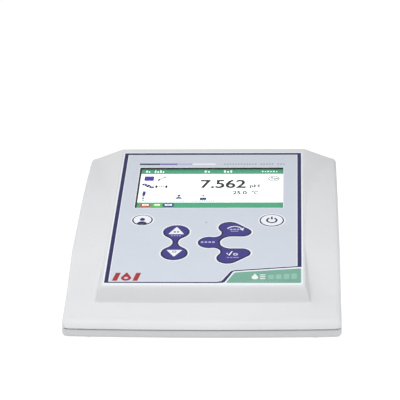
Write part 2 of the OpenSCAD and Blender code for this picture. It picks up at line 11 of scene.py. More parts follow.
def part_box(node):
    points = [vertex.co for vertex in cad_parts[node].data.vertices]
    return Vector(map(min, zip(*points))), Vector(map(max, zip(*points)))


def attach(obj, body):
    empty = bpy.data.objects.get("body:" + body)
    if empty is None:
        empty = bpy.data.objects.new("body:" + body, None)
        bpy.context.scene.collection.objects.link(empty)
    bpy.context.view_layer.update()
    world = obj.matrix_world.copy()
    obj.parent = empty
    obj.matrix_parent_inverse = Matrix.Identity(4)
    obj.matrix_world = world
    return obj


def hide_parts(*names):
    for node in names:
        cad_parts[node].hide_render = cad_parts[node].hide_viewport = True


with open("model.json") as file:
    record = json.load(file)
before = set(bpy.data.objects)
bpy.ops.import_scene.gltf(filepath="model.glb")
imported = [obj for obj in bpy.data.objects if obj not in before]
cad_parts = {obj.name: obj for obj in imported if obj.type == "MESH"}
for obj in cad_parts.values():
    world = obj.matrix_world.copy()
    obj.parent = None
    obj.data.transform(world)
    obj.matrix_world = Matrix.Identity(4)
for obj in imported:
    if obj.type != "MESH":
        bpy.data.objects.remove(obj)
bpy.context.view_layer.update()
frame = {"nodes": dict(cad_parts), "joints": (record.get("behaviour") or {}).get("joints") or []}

MM = 0.001

# ---------------------------------------------------------------- places, in mm, from the frame


def box_mm(node):
    low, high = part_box(node)
    return low / MM, high / MM


CASE_LOW, CASE_HIGH = box_mm("upper_housing")
HALF_W = CASE_HIGH.x
FRONT = CASE_LOW.y
DEPTH = round(CASE_HIGH.y - CASE_LOW.y)
BASE_LOW, BASE_HIGH = box_mm("lower_housing")
SEAM_GAP = 0.5
SEAM = BASE_HIGH.z + SEAM_GAP

# The panel's own axes: X across, S up the slope, N out of the face. S = 0 is at the frame line's
# foot, and the film reaches FILM_BELOW below it.
PRESS = Vector(frame["joints"][0]["axis"]).normalized()
TILT = math.atan2(PRESS.y, -PRESS.z)
FILM_T = 0.4
FILM_BELOW = 2.8
FILM_LOW = box_mm("overlay_film")[0]
PANEL_Y = FILM_LOW.y + FILM_BELOW * math.cos(TILT)
PANEL_Z = FILM_LOW.z + FILM_BELOW * math.sin(TILT) + FILM_T * math.cos(TILT)
PANEL = Matrix.Translation((0, PANEL_Y, PANEL_Z)) @ Matrix.Rotation(TILT, 4, "X")
PANEL_BACK = PANEL.inverted()

# ---------------------------------------------------------------- outlines, as arrays of points


def unit(v):
    return v / np.linalg.norm(v, axis=-1, keepdims=True)


def arc(x, y, r, start, end, n=24):
    """Points of an arc from start to end, in degrees, end left out."""
    a = np.radians(start + (end - start) * np.arange(n) / n)
    return np.stack([x + r * np.cos(a), y + r * np.sin(a)], 1)


def disc(x, y, r, n=64):
    return arc(x, y, r, 0, 360, n)


def oval(x, y, rx, ry, n=40):
    return (disc(0, 0, 1, n) * [rx, ry]) + [x, y]


def rect(x0, y0, x1, y1):
    return np.array([[x0, y0], [x1, y0], [x1, y1], [x0, y1]], float)


def round_rect(x0, y0, x1, y1, r, n=6):
    return np.concatenate([
        arc(x1 - r, y0 + r, r, -90, 0, n), arc(x1 - r, y1 - r, r, 0, 90, n),
        arc(x0 + r, y1 - r, r, 90, 180, n), arc(x0 + r, y0 + r, r, 180, 270, n)])


def rounded(corners, closed=True, n=8):
    """An outline through [x, y, radius] corners, each turned into an arc of its radius."""
    p = [np.array(c[:2], float) for c in corners]
    points = []
    for i, b in enumerate(p):
        r = corners[i][2]
        if r == 0 or (not closed and i in (0, len(p) - 1)):
            points.append(b)
            continue
        u, v = unit(p[i - 1] - b), unit(p[(i + 1) % len(p)] - b)
        half = math.acos(max(-1, min(1, float(u @ v)))) / 2
        centre = b + unit(u + v) * r / math.sin(half)
        a0, a1 = (math.atan2(*(q - centre)[::-1]) for q in
                  (b + u * r / math.tan(half), b + v * r / math.tan(half)))
        sweep = (a1 - a0 + math.pi) % (2 * math.pi) - math.pi
        points += [centre + r * np.array([math.cos(a), math.sin(a)])
                   for a in a0 + sweep * np.arange(n + 1) / n]
    return np.array(points)


def band(points, width):
    """A strip of that width along a line of points; width may be a list, one for each point."""
    p = np.array(points, float)
    w = np.broadcast_to(np.array(width, float) / 2, len(p))[:, None]
    way = np.gradient(p, axis=0)
    side = unit(np.stack([-way[:, 1], way[:, 0]], 1)) * w
    return np.concatenate([p - side, (p + side)[::-1]])


def grown(loop, d):
    """A closed anticlockwise outline moved outwards by d."""
    before, after = unit(loop - np.roll(loop, 1, 0)), unit(np.roll(loop, -1, 0) - loop)
    way = unit(before + after)
    out = np.stack([way[:, 1], -way[:, 0]], 1)
    stretch = 1 / np.maximum(np.sum(before * way, 1), 0.5)
    return loop + out * (d * stretch)[:, None]


def area(loop):
    x, y = loop[:, 0], loop[:, 1]
    return 0.5 * float(np.sum(x * np.roll(y, -1) - np.roll(x, -1) * y))


def anticlockwise(loop):
    return loop if area(loop) > 0 else loop[::-1]


def smooth_step(x, low, high):
    t = np.clip((x - low) / (high - low), 0, 1)
    return t * t * (3 - 2 * t)


# ---------------------------------------------------------------- materials


def srgb(r, g, b):
    """A colour given as it looks on a screen, 0 to 255, as linear light."""
    c = np.array([r, g, b]) / 255
    return (*np.where(c <= 0.04045, c / 12.92, ((c + 0.055) / 1.055) ** 2.4), 1.0)


# Noise mostly lies between these two values
NOISE_LOW = 0.3
NOISE_HIGH = 0.7
GRAIN_DEPTH = 0.0001


def material(name, colour, spread=0.03, rough=(0.4, 0.5), patch=60, grain=2500, bump=0.05,
             stretch=(1, 1, 1), **sockets):
    """Plastic, print, rubber or metal: cloudy colour and roughness over a fine surface grain."""
    m = bpy.data.materials.new(name)
    m.use_nodes = True
    nodes, links = m.node_tree.nodes, m.node_tree.links
    shader = nodes["Principled BSDF"]
    place = nodes.new("ShaderNodeTexCoord")
    scaled = nodes.new("ShaderNodeMapping")
    scaled.inputs["Scale"].default_value = stretch
    links.new(place.outputs["Object"], scaled.inputs["Vector"])

    def noise(scale, detail):
        n = nodes.new("ShaderNodeTexNoise")
        n.inputs["Scale"].default_value = scale
        n.inputs["Detail"].default_value = detail
        links.new(scaled.outputs["Vector"], n.inputs["Vector"])
        return n.outputs["Fac"]

    cloud, fine = noise(patch, 3), noise(grain, 4)
    ramp = nodes.new("ShaderNodeValToRGB")
    base = np.array(srgb(*colour)[:3])
    ends = ((NOISE_LOW, 1 - spread), (NOISE_HIGH, 1 + spread))
    for element, (at, level) in zip(ramp.color_ramp.elements, ends):
        element.position = at
        element.color = (*np.clip(base * level, 0, 1), 1)
    links.new(cloud, ramp.inputs["Fac"])
    links.new(ramp.outputs["Color"], shader.inputs["Base Color"])
    spread_rough = nodes.new("ShaderNodeMapRange")
    spread_rough.inputs["From Min"].default_value = NOISE_LOW
    spread_rough.inputs["From Max"].default_value = NOISE_HIGH
    spread_rough.inputs["To Min"].default_value = rough[0]
    spread_rough.inputs["To Max"].default_value = rough[1]
    links.new(fine, spread_rough.inputs["Value"])
    links.new(spread_rough.outputs["Result"], shader.inputs["Roughness"])
    relief = nodes.new("ShaderNodeBump")
    relief.inputs["Strength"].default_value = bump
    relief.inputs["Distance"].default_value = GRAIN_DEPTH
    links.new(fine, relief.inputs["Height"])
    links.new(relief.outputs["Normal"], shader.inputs["Normal"])
    for socket, value in sockets.items():
        shader.inputs[socket.replace("_", " ")].default_value = value
    return m


def glowing(name, colour, strength):
    """A lit screen colour: the same colour given off by its own light."""
    return material(name, colour, spread=0.01, rough=(0.15, 0.2), bump=0.01,
                    Emission_Color=srgb(*colour), Emission_Strength=strength,
                    Specular_IOR_Level=0.2)


CASE = material("case_plastic", (213, 214, 216), 0.012, (0.42, 0.52), 35, 2200, 0.25)
BASE = material("base_plastic", (203, 203, 204), 0.012, (0.45, 0.55), 35, 2200, 0.25)
WHITE = material("print_white", (229, 232, 236), 0.006, (0.34, 0.4), 120, 3000, 0.04)
FIELD = material("print_field", (199, 205, 215), 0.012, (0.34, 0.4), 60, 3000, 0.05)
NAVY = material("print_navy", (30, 26, 84), 0.06, (0.32, 0.38), 150, 3000, 0.04)
VIOLET = material("print_violet", (55, 48, 126), 0.05, (0.32, 0.38), 200, 3000, 0.04)
GREEN = material("print_green", (113, 164, 145), 0.04, (0.34, 0.4), 90, 3000, 0.04)
PALE_GREEN = material("print_pale_green", (140, 184, 170), 0.04, (0.34, 0.4), 90, 3000, 0.04)
RED = material("print_red", (158, 36, 42), 0.06, (0.34, 0.4), 200, 3000, 0.04)
PURPLE = material("print_purple", (112, 104, 172), 0.03, (0.34, 0.4), 150, 3000, 0.04)
LILAC = material("print_lilac", (178, 172, 216), 0.03, (0.34, 0.4), 150, 3000, 0.04)
TICK = material("print_tick", (142, 148, 164), 0.03, (0.34, 0.4), 150, 3000, 0.04)
SCREEN_WHITE = glowing("screen_white", (246, 250, 248), 0.4)
SCREEN_GREEN = glowing("screen_green", (62, 148, 110), 0.25)
SCREEN_INK = glowing("screen_ink", (10, 10, 18), 0.0)
SCREEN_NAVY = glowing("screen_navy", (44, 34, 110), 0.2)
SCREEN_BLUE = glowing("screen_blue", (60, 20, 160), 0.3)
SCREEN_SHADE = glowing("screen_shade", (120, 128, 130), 0.2)
SCREEN_RED = glowing("screen_red", (170, 60, 30), 0.3)
SCREEN_LIME = glowing("screen_lime", (90, 170, 60), 0.3)
SCREEN_EDGE = material("screen_edge", (14, 14, 16), 0.1, (0.4, 0.5), 200, 2000, 0.05)
RUBBER = material("foot_rubber_moulded", (84, 85, 87), 0.08, (0.7, 0.85), 300, 1500, 0.4)
SEAL = material("seal_foam", (120, 122, 126), 0.08, (0.75, 0.9), 400, 1800, 0.4)
STEEL = material("turned_steel", (190, 191, 195), 0.05, (0.24, 0.36), 300, 900, 0.1,
                 (1, 1, 6), Metallic=1.0)
NICKEL = material("plated_nickel", (196, 194, 188), 0.04, (0.16, 0.28), 400, 1400, 0.06,
                  (1, 5, 1), Metallic=1.0)
BRASS = material("plated_gold", (206, 170, 92), 0.05, (0.2, 0.32), 400, 1400, 0.06,
                 (1, 5, 1), Metallic=1.0)
TIN = material("tinned_sheet", (186, 188, 190), 0.06, (0.3, 0.45), 200, 700, 0.12, Metallic=1.0)
BLACK = material("moulded_black", (34, 34, 36), 0.1, (0.45, 0.58), 150, 1600, 0.2)
REAR = material("rear_plate_paint", (92, 94, 98), 0.05, (0.5, 0.62), 120, 1800, 0.3)
BOARD = material("board_lacquer", (24, 92, 54), 0.1, (0.28, 0.4), 160, 900, 0.12)
IVORY = material("ivory_nylon", (226, 224, 214), 0.03, (0.4, 0.5), 150, 1500, 0.12)
RIBBON = material("grey_ribbon", (186, 188, 192), 0.06, (0.5, 0.6), 120, 900, 0.15, (1, 8, 8))
AMBER = material("amber_film", (196, 132, 52), 0.08, (0.3, 0.4), 120, 900, 0.1)
FOIL = material("label_foil", (196, 199, 202), 0.04, (0.35, 0.45), 120, 1600, 0.1, Metallic=0.4)
LENS = material("led_lens", (176, 192, 184), 0.04, (0.2, 0.3), 300, 1500, 0.05)
CLEAR = material("clear_window", (236, 242, 246), 0.01, (0.06, 0.1), 60, 1500, 0.01,
                 Alpha=0.02, Specular_IOR_Level=0.1)

# ---------------------------------------------------------------- meshes, built in mm


def link(name, data):
    o = bpy.data.objects.new(name, data)
    bpy.context.scene.collection.objects.link(o)
    return o


def piece(name, bm, materials, body="case", replaces=(), slot=None, place=None, sharp=35):
    """Turns a mesh in mm into an object of the frame, smooth but for its sharp edges."""
    bm.normal_update()
    limit = math.radians(sharp)
    for e in bm.edges:
        e.smooth = len(e.link_faces) == 2 and e.calc_face_angle() < limit
    for f in bm.faces:
        f.smooth = sharp > 0
    bm.transform(Matrix.Scale(MM, 4) @ (place or Matrix.Identity(4)))
    data = bpy.data.meshes.new(name)
    bm.to_mesh(data)
    bm.free()
    for m in materials:
        data.materials.append(m)
    o = link(name, data)
    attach(o, body)
    if replaces:
        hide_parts(*replaces)
    return o


def triangles(loops, extra=()):
    """Constrained triangulation of closed outlines, and loose points inside them.

    Gives the points, the faces, each face's outlines, and the given points each point stands for.
    """
    points, faces = [Vector(p) for p in extra], []
    for loop in loops:
        first = len(points)
        points += [Vector(p) for p in loop]
        faces.append(list(range(first, len(points))))
    points, _, made, sources, _, owners = delaunay_2d_cdt(points, [], faces, 1, 1e-5, True)
    inside = [i for i, own in enumerate(owners) if own]
    return points, [made[i] for i in inside], [owners[i] for i in inside], sources


def ways_out(rim):
    """The way out of a flat plate, in its plane, at each corner of its rim edges."""
    ways = {}
    for e in rim:
        a, b = e.verts
        along = (b.co - a.co).normalized()
        out = Vector((along.y, -along.x, 0))
        if out.dot(e.link_faces[0].calc_center_median() - a.co) > 0:
            out.negate()
        for v in e.verts:
            ways[v] = ways.get(v, Vector()) + out
    return {v: out.normalized() for v, out in ways.items()}


def sheet(name, outline, layers, top, bottom, holes=(), bevel=0.0, **how):
    """A flat plate in panel axes whose face is printed: layers are (material, outline), last on top."""
    inks = list(dict.fromkeys(ink for ink, _ in layers))
    loops = [grown(anticlockwise(outline), -bevel)]
    loops += [anticlockwise(loop) for _, loop in layers]
    loops += [grown(anticlockwise(hole), bevel) for hole in holes]
    points, made, owners, _ = triangles(loops)
    printed = []
    for tri, own in zip(made, owners):
        if 0 in own and max(own) <= len(layers):
            ink = layers[max(max(own) - 1, 0)][0]
            printed.append((tri, inks.index(ink)))
    bm = bmesh.new()
    front = {i: bm.verts.new((*points[i], top)) for i in sorted({i for tri, _ in printed for i in tri})}
    for tri, ink in printed:
        bm.faces.new([front[i] for i in tri]).material_index = ink
    rim = [e for e in bm.edges if len(e.link_faces) == 1]
    outward = ways_out(rim)
    side, foot, back = {}, {}, {}
    for v in front.values():
        if v in outward:
            x, y, _ = v.co + outward[v] * bevel
            side[v] = bm.verts.new((x, y, top - bevel)) if bevel else v
            foot[v] = back[v] = bm.verts.new((x, y, bottom))
        else:
            back[v] = bm.verts.new((v.co.x, v.co.y, bottom))
    for e in rim:
        a, b = e.verts
        quads = [(a, b, side[b], side[a])] if bevel else []
        quads.append((side[a], side[b], foot[b], foot[a]))
        ink = e.link_faces[0].material_index
        for quad in quads:
            bm.faces.new(quad).material_index = ink
    for tri, ink in printed:
        bm.faces.new([back[front[i]] for i in reversed(tri)]).material_index = ink
    bmesh.ops.recalc_face_normals(bm, faces=bm.faces)
    return piece(name, bm, inks, place=PANEL, sharp=0, **how)


def walls(bm, rings):
    """Faces between each ring of corners and the next one."""
    for one, two in zip(rings, rings[1:]):
        for i in range(len(one)):
            j = (i + 1) % len(one)
            bm.faces.new((one[i], one[j], two[j], two[i]))


def prism(loop, low, high, place=None):
    """A closed straight prism over an outline, for cutting with."""
    bm = bmesh.new()
    rings = [[bm.verts.new((*p, z)) for p in loop] for z in (low, high)]
    walls(bm, rings)
    bm.faces.new(rings[0][::-1])
    bm.faces.new(rings[1])
    bmesh.ops.recalc_face_normals(bm, faces=bm.faces)
    if place:
        bm.transform(place)
    return bm


def cut(bm, cutters, operation="DIFFERENCE"):
    """Takes each cutter away from the mesh, or adds it. Every mesh here has to be closed."""
    data = bpy.data.meshes.new("target")
    bm.to_mesh(data)
    bm.free()
    target = link("target", data)
    for cutter in cutters:
        tool_data = bpy.data.meshes.new("tool")
        cutter.to_mesh(tool_data)
        cutter.free()
        tool = link("tool", tool_data)
        mod = target.modifiers.new("cut", "BOOLEAN")
        mod.operation = operation
        mod.solver = "MANIFOLD"
        mod.object = tool
        seen = target.evaluated_get(bpy.context.evaluated_depsgraph_get())
        done = bpy.data.meshes.new_from_object(seen)
        target.modifiers.clear()
        target.data = done
        bpy.data.objects.remove(tool)
    result = bmesh.new()
    result.from_mesh(target.data)
    bpy.data.objects.remove(target)
    return result


def lathe(profile, place, n=64):
    """A closed profile of (radius, height) points turned round the Z axis of a place."""
    bm = bmesh.new()
    rings = []
    for r, z in profile:
        if r < 1e-6:
            rings.append([bm.verts.new((0, 0, z))] * n)
        else:
            rings.append([bm.verts.new((*p, z)) for p in disc(0, 0, r, n)])
    for k, ring in enumerate(rings):
        after = rings[(k + 1) % len(rings)]
        for i in range(n):
            j = (i + 1) % n
            corners = []
            for v in (ring[i], ring[j], after[j], after[i]):
                if v not in corners:
                    corners.append(v)
            if len(corners) > 2:
                bm.faces.new(corners)
    bmesh.ops.recalc_face_normals(bm, faces=bm.faces)
    bm.transform(place)
    return bm


# ---------------------------------------------------------------- the case's curved surface

FRONT_BOW = 2.4
BOW_FADES = (2, 26)
FRONT_CORNER = 4
REAR_CORNER = 2.5
WALL = 2.5
EDGE_R = 2.2

# The wings' side profile: lip, shelf, then a long curve just under the panel's plane
LIP_D = 1.9
LIP_Z = 10.6
SHELF_END = 27.7
SHELF_SLOPE = math.tan(math.radians(19))
WING_MIDDLE = (61, 140)
WING_BELOW_PANEL = 0.3
WING_REAR_Z = 63.8

# The raised panel: its flanks are steep as far back as STEEP_TO, and shallow from SHALLOW_FROM
HUMP_HALF = 57.5
HUMP_FRONT = 21.9
FRONT_FACE_SLOPE = 4.0
FRONT_FLANK_SLOPE = 3.0
REAR_FLANK_SLOPE = math.tan(math.radians(20))
STEEP_TO = 60
SHALLOW_FROM = 100
FLANK_ROUND = 0.5
FACE_ROUND = 2.2
FOOT_ROUND = 0.7
FOOT_ROUND_LIMITS = (0.02, 1.3)
# The panel's wall measured straight down, in skins, thick enough for the pockets cut into it
PANEL_SKINS = 1.36


def panel_height(d):
    """Height of the panel's plane at a distance behind the front edge."""
    return PANEL_Z + (d + FRONT - PANEL_Y) * math.tan(TILT)


def shelf_height(d):
    return LIP_Z + (d - LIP_D) * SHELF_SLOPE


WING = rounded([
    (0, SEAM, 0), (LIP_D, LIP_Z, 9.6), (SHELF_END, shelf_height(SHELF_END), 45),
    *((d, panel_height(d) - WING_BELOW_PANEL, r) for d, r in zip(WING_MIDDLE, (60, 540))),
    (DEPTH, WING_REAR_Z, 0), (DEPTH + 5, WING_REAR_Z + 0.2, 0)], closed=False, n=14)


def bow(x):
    """How far the front edge lies behind its middle."""
    r = (HALF_W ** 2 + FRONT_BOW ** 2) / (2 * FRONT_BOW)
    return r - np.sqrt(r * r - np.minimum(np.abs(x), HALF_W) ** 2)


def soft_min(a, b, k):
    """The lower of two heights, with a fillet k wide where they meet."""
    h = np.clip(0.5 + 0.5 * (b - a) / k, 0, 1)
    return b * (1 - h) + a * h - k * h * (1 - h)


def case_height(x, d, skin=0.0):
    """Height of the case's upper surface, or of its inside a skin below."""
    d = d - bow(x) * (1 - smooth_step(d, *BOW_FADES))
    wing = np.interp(d, WING[:, 0], WING[:, 1]) - skin
    plane = panel_height(d) - skin * PANEL_SKINS
    rear = smooth_step(d, STEEP_TO, SHALLOW_FROM)
    slope = FRONT_FLANK_SLOPE * (1 - rear) + REAR_FLANK_SLOPE * rear
    flank = plane - slope * (np.abs(x) - HUMP_HALF + skin)
    face = panel_height(HUMP_FRONT) - skin * PANEL_SKINS + FRONT_FACE_SLOPE * (d - HUMP_FRONT - skin)
    hump = soft_min(soft_min(plane, flank, FLANK_ROUND * slope), face, FACE_ROUND)
    fillet = np.clip(FOOT_ROUND * (plane - wing), *FOOT_ROUND_LIMITS)
    return -soft_min(-wing, -hump, fillet)


def case_outline(inset=0.0, step=1.6):
    """The case from above, anticlockwise, moved inwards, with points no further apart than step."""
    side, back = HALF_W - inset, DEPTH - inset
    front_r, rear_r = (max(r - inset, 0.6) for r in (FRONT_CORNER, REAR_CORNER))
    x = np.linspace(-side, side, 41)[2:-2]
    corners = [(a, b + inset, 0) for a, b in zip(x, bow(x))]
    front = float(bow(side)) + inset
    loop = rounded(corners + [(side, front, front_r), (side, back, rear_r),
                              (-side, back, rear_r), (-side, front, front_r)])
    points = []
    for a, b in zip(loop, np.roll(loop, -1, 0)):
        n = max(1, math.ceil(np.linalg.norm(b - a) / step))
        points += [a + (b - a) * i / n for i in range(n)]
    return np.array(points)


OUTLINE = case_outline()


def grid_points(xs, ds, room, corner):
    """The grid's points that lie well inside the case's outline, clear of its corners."""
    x, d = (g.ravel() for g in np.meshgrid(xs, ds))
    keep = (np.abs(x) < HALF_W - room) & (d > bow(x) + room * 0.55) & (d < DEPTH - room)
    keep &= ~((np.abs(x) > HALF_W - corner) & ((d < bow(x) + corner) | (d > DEPTH - corner)))
    return np.stack([x[keep], d[keep]], 1)


def case_solid(inset, foot, edge_r, skin, grid):
    """A closed solid under the case's upper surface, its top edge rounded to edge_r."""
    side = case_outline(inset)
    top_z = case_height(side[:, 0], side[:, 1], skin)
    r = np.clip((top_z - foot - 0.2) * 0.6, 0.15, edge_r)
    inwards = grown(side, -1) - side
    bm = bmesh.new()

    def ring(points, z):
        return [bm.verts.new((p[0], p[1] + FRONT, h)) for p, h in zip(points, z)]

    rings = [ring(side, np.full(len(side), foot)), ring(side, foot + (top_z - r - foot) * 0.5)]
    for turn in np.radians(np.linspace(0, 90, 8)):
        points = side + inwards * r[:, None] * (1 - math.cos(turn))
        z = case_height(points[:, 0], points[:, 1], skin) - r * (1 - math.sin(turn))
        rings.append(ring(points, z))
    walls(bm, rings)
    bm.faces.new(rings[0][::-1])
    inner = grid_points(*grid, inset + edge_r + 0.5, FRONT_CORNER + inset)
    verts, faces, _, sources = triangles([points], inner)
    at = np.array([tuple(v) for v in verts])
    height = case_height(at[:, 0], at[:, 1], skin)
    made = []
    for p, h, source in zip(at, height, sources):
        on_ring = max(source, default=-1) - len(inner)
        made.append(rings[-1][on_ring] if on_ring >= 0 else bm.verts.new((p[0], p[1] + FRONT, h)))
    for f in faces:
        bm.faces.new([made[i] for i in f])
    bmesh.ops.recalc_face_normals(bm, faces=bm.faces)
    return bm


def spread_grid(*runs):
    """Grid lines from (start, end, step) runs."""
    return np.concatenate([np.arange(a, b, s) for a, b, s in runs])


def mirrored(values):
    return np.concatenate([-values[::-1], values])


# Grid lines lie closest where the surface bends: at the lip, the panel's front face and its flanks
TOP_GRID = (mirrored(spread_grid((1.5, 54, 3.5), (54, 63, 0.35), (63, 78, 1.2))),
            spread_grid((0.5, 9, 0.6), (9, 17, 1), (17, 24, 0.3), (24, 64, 1.2), (64, 182, 2)))
CAVITY_GRID = (mirrored(spread_grid((2, 78, 4))), spread_grid((2, 182, 4)))

# ---------------------------------------------------------------- outlines taken from CAD nodes


def face_loops(node):
    """Outlines of a node's flat outer face, in panel axes, largest first."""
    bm = bmesh.new()
    bm.from_mesh(frame["nodes"][node].data)
    bm.transform(PANEL_BACK @ Matrix.Scale(1 / MM, 4))
    bmesh.ops.remove_doubles(bm, verts=bm.verts, dist=1e-3)
    bm.normal_update()
    bm.faces.index_update()
    top = max(v.co.z for v in bm.verts)
    flat = {f for f in bm.faces if f.normal.z > 0.99 and abs(f.calc_center_median().z - top) < 0.02}
    step = {}
    for f in sorted(flat, key=lambda f: f.index):
        for corner in f.loops:
            if sum(g in flat for g in corner.edge.link_faces) == 1:
                step[corner.vert] = corner.link_loop_next.vert
    loops = []
    while step:
        v, following = step.popitem()
        loop = [v.co.xy[:], following.co.xy[:]]
        while following in step:
            following = step.pop(following)
            loop.append(following.co.xy[:])
        loops.append(anticlockwise(np.array(loop[:-1])))
    bm.free()
    return sorted(loops, key=area, reverse=True)


(FILM_EDGE, WINDOW_HOLE, LOBES_HOLE, ARROWS_HOLE,
 POWER_HOLE, USER_HOLE, LED_HOLE) = face_loops("overlay_film")
KEY_GAP = 0.2


def circle_of(loop):
    """Centre and radius of a round outline."""
    low, high = loop.min(0), loop.max(0)
    return (*((low + high) / 2), float((high - low).mean() / 2))


USER_AT = circle_of(USER_HOLE)
POWER_AT = circle_of(POWER_HOLE)
KEY_ROW = float(LOBES_HOLE[:, 1].min() + LOBES_HOLE[:, 1].max()) / 2
ARROW_X = float(ARROWS_HOLE[:, 0].min() + ARROWS_HOLE[:, 0].max()) / 2
ARROW_RISE = float(np.ptp(ARROWS_HOLE[:, 1]) - np.ptp(ARROWS_HOLE[:, 0])) / 2

# ---------------------------------------------------------------- printing on the film

LINE_X = 54.3
LINE_TOP = 153.3
BAR = 2.3
THIN_BAR = 1.15
SLANT_EXTRA = 0.95
WHITE_LINE = 0.45


def notch_path():
    """The frame line's middle from the right bar's foot to the bottom line."""
    return rounded([(LINE_X, 17.2, 0), (16.4, 12.4, 3.0), (11.4, 0.7, 1.6), (8.0, 0.0, 0)],
                   closed=False, n=10)


def frame_layers():
    """Navy frame line with its notch, a thin white line inside it and the grey field."""
    path = notch_path()
    slant = smooth_step(17 - path[:, 0], 0, 3) * smooth_step(path[:, 0], 9, 11.5)
    half = (THIN_BAR + SLANT_EXTRA * slant)[:, None] / 2
    way = np.gradient(path, axis=0)
    side = unit(np.stack([way[:, 1], -way[:, 0]], 1))

    def ring(edge, d, foot):
        """The frame line's outer or inner edge: straight sides, and the notch at its foot."""
        x, top = LINE_X + d, LINE_TOP + d
        low = float(np.interp(x, edge[::-1, 0], edge[::-1, 1]))
        return np.concatenate([[[x, low], [x, top], [-x, top], [-x, foot], [edge[-1, 0], foot]],
                               edge[(edge[:, 0] < x - 0.2)][:-1][::-1]])

    outer = ring(path - side * half, BAR / 2, -0.65)
    white = ring(path + side * half, -BAR / 2, 0.6)
    field = grown(anticlockwise(white), -WHITE_LINE)
    return [(NAVY, outer), (WHITE, white), (FIELD, field)]


def corner_layers():
    """Green field under the notch, with a droplet mark and paler patches."""
    green = rounded([(13.0, -0.5, 0.4), (17.6, 10.7, 2.2), (55.2, 15.2, 0.9), (55.2, -0.5, 0.9)])
    layers = [(GREEN, green)]
    for i, x in enumerate((38.2, 42.6, 47.0, 51.2)):
        layers.append((PALE_GREEN, round_rect(x - 1.6, 3.6, x + 1.6, 8.2 + 0.5 * i, 0.8)))
    drop = np.concatenate([arc(29.2, 5.3, 1.9, 150, 390, 20), [[29.2, 9.6]]])
    layers.append((WHITE, drop))
    layers += [(WHITE, round_rect(32.0, s, 35.2, s + 0.95, 0.4)) for s in (3.6, 5.6, 7.6)]
    layers += [(PALE_GREEN, rect(x, 1.1, x + 1.3, 1.6)) for x in np.arange(25, 43, 2.0)]
    return layers


def mark_layers():
    """A red drop between two slanting strokes at the panel's lower left."""
    def stroke(x0, x1, lean):
        return np.array([[x0, 1.6], [x1, 1.6], [x1 + lean, 10.2], [x0 + lean, 10.2]])
    drop = np.concatenate([arc(-43.4, 4.6, 2.9, 150, 390, 24), [[-43.4, 10.8]]])
    return [(RED, stroke(-51.2, -48.4, 1.6)), (RED, stroke(-39.6, -36.8, 1.6)), (RED, drop),
            (FIELD, disc(-43.4, 4.7, 1.1, 24))]


def strip_layers():
    """Coloured strip above the screen, and a row of ticks in three groups in place of words."""
    ends = (-45.2, -32.6, -21.7, -12.3, 2.2)
    layers = [(ink, rect(a, 138.9, b, 140.8)) for ink, a, b in
              zip((NAVY, PURPLE, LILAC, WHITE), ends, ends[1:])]
    ticks = np.arange(7.4, 45, 1.75)
    gaps = (12, 18)
    layers += [(TICK, rect(x, 139.2, x + 1.05, 140.5)) for i, x in enumerate(ticks) if i not in gaps]
    return layers


def printed_film():
    """The film, with its openings, and a white rim round each key."""
    white_rim = 0.85
    halos = [(WHITE, grown(h, white_rim)) for h in (LOBES_HOLE, ARROWS_HOLE)]
    halos += [(WHITE, disc(x, s, r + white_rim)) for x, s, r in (USER_AT, POWER_AT)]
    holes = [WINDOW_HOLE, LOBES_HOLE, ARROWS_HOLE, disc(*USER_AT), disc(*POWER_AT),
             disc(*circle_of(LED_HOLE), 20)]
    layers = [(WHITE, FILM_EDGE), *frame_layers(), (WHITE, grown(WINDOW_HOLE, 0.5)),
              *corner_layers(), *mark_layers(), *strip_layers(), *halos]
    sheet("printed_overlay", grown(FILM_EDGE, -0.08), layers, 0, -FILM_T, holes, 0.03,
          replaces=["overlay_film"], slot="film_print")


# ---------------------------------------------------------------- keys

KEY_TOP = 0.1
KEY_T = 0.6
KEY_BEVEL = 0.07
RIM = 1.1
LOBE_PITCH = 13.8


def key(node, body, layers, slot, outline=None):
    """A printed cap in the CAD key's own outline, or in a rounder one."""
    edge = face_loops(node)[0] if outline is None else outline
    sheet(node + "_cap", edge, layers, KEY_TOP, KEY_TOP - KEY_T, bevel=KEY_BEVEL,
          body=body, replaces=[node], slot=slot)


def user_icon(x, s, k):
    """Head and shoulders, k mm from the middle to the shoulders' ends."""
    shoulders = oval(x, s - 1.8 * k, k, 1.05 * k)[:21]
    return [oval(x, s, 0.48 * k, 0.56 * k, 24), shoulders]


def round_keys():
    x, s, hole_r = USER_AT
    r = hole_r - KEY_GAP
    head, shoulders = user_icon(x, s + 0.5, 3.1)
    key("key_user", "user_key",
        [(NAVY, disc(x, s, r)), (WHITE, disc(x, s, r - 0.6)), (NAVY, head), (NAVY, shoulders)],
        "key_white", disc(x, s, r))
    x, s, hole_r = POWER_AT
    r = hole_r - KEY_GAP
    ring = np.concatenate([arc(x, s, 3.4, 118, 422, 40), arc(x, s, 2.3, 422, 118, 40)])
    key("key_power", "power_key",
        [(NAVY, disc(x, s, r)), (WHITE, disc(x, s, r - 0.55)), (NAVY, ring),
         (NAVY, round_rect(x - 0.55, s + 0.9, x + 0.55, s + 4.1, 0.3))],
        "key_white", disc(x, s, r))


def group_ground(hole):
    """Violet with a navy rim, one print for all the keys that share an opening."""
    return [(NAVY, grown(hole, 0.5)), (VIOLET, grown(hole, -RIM))]


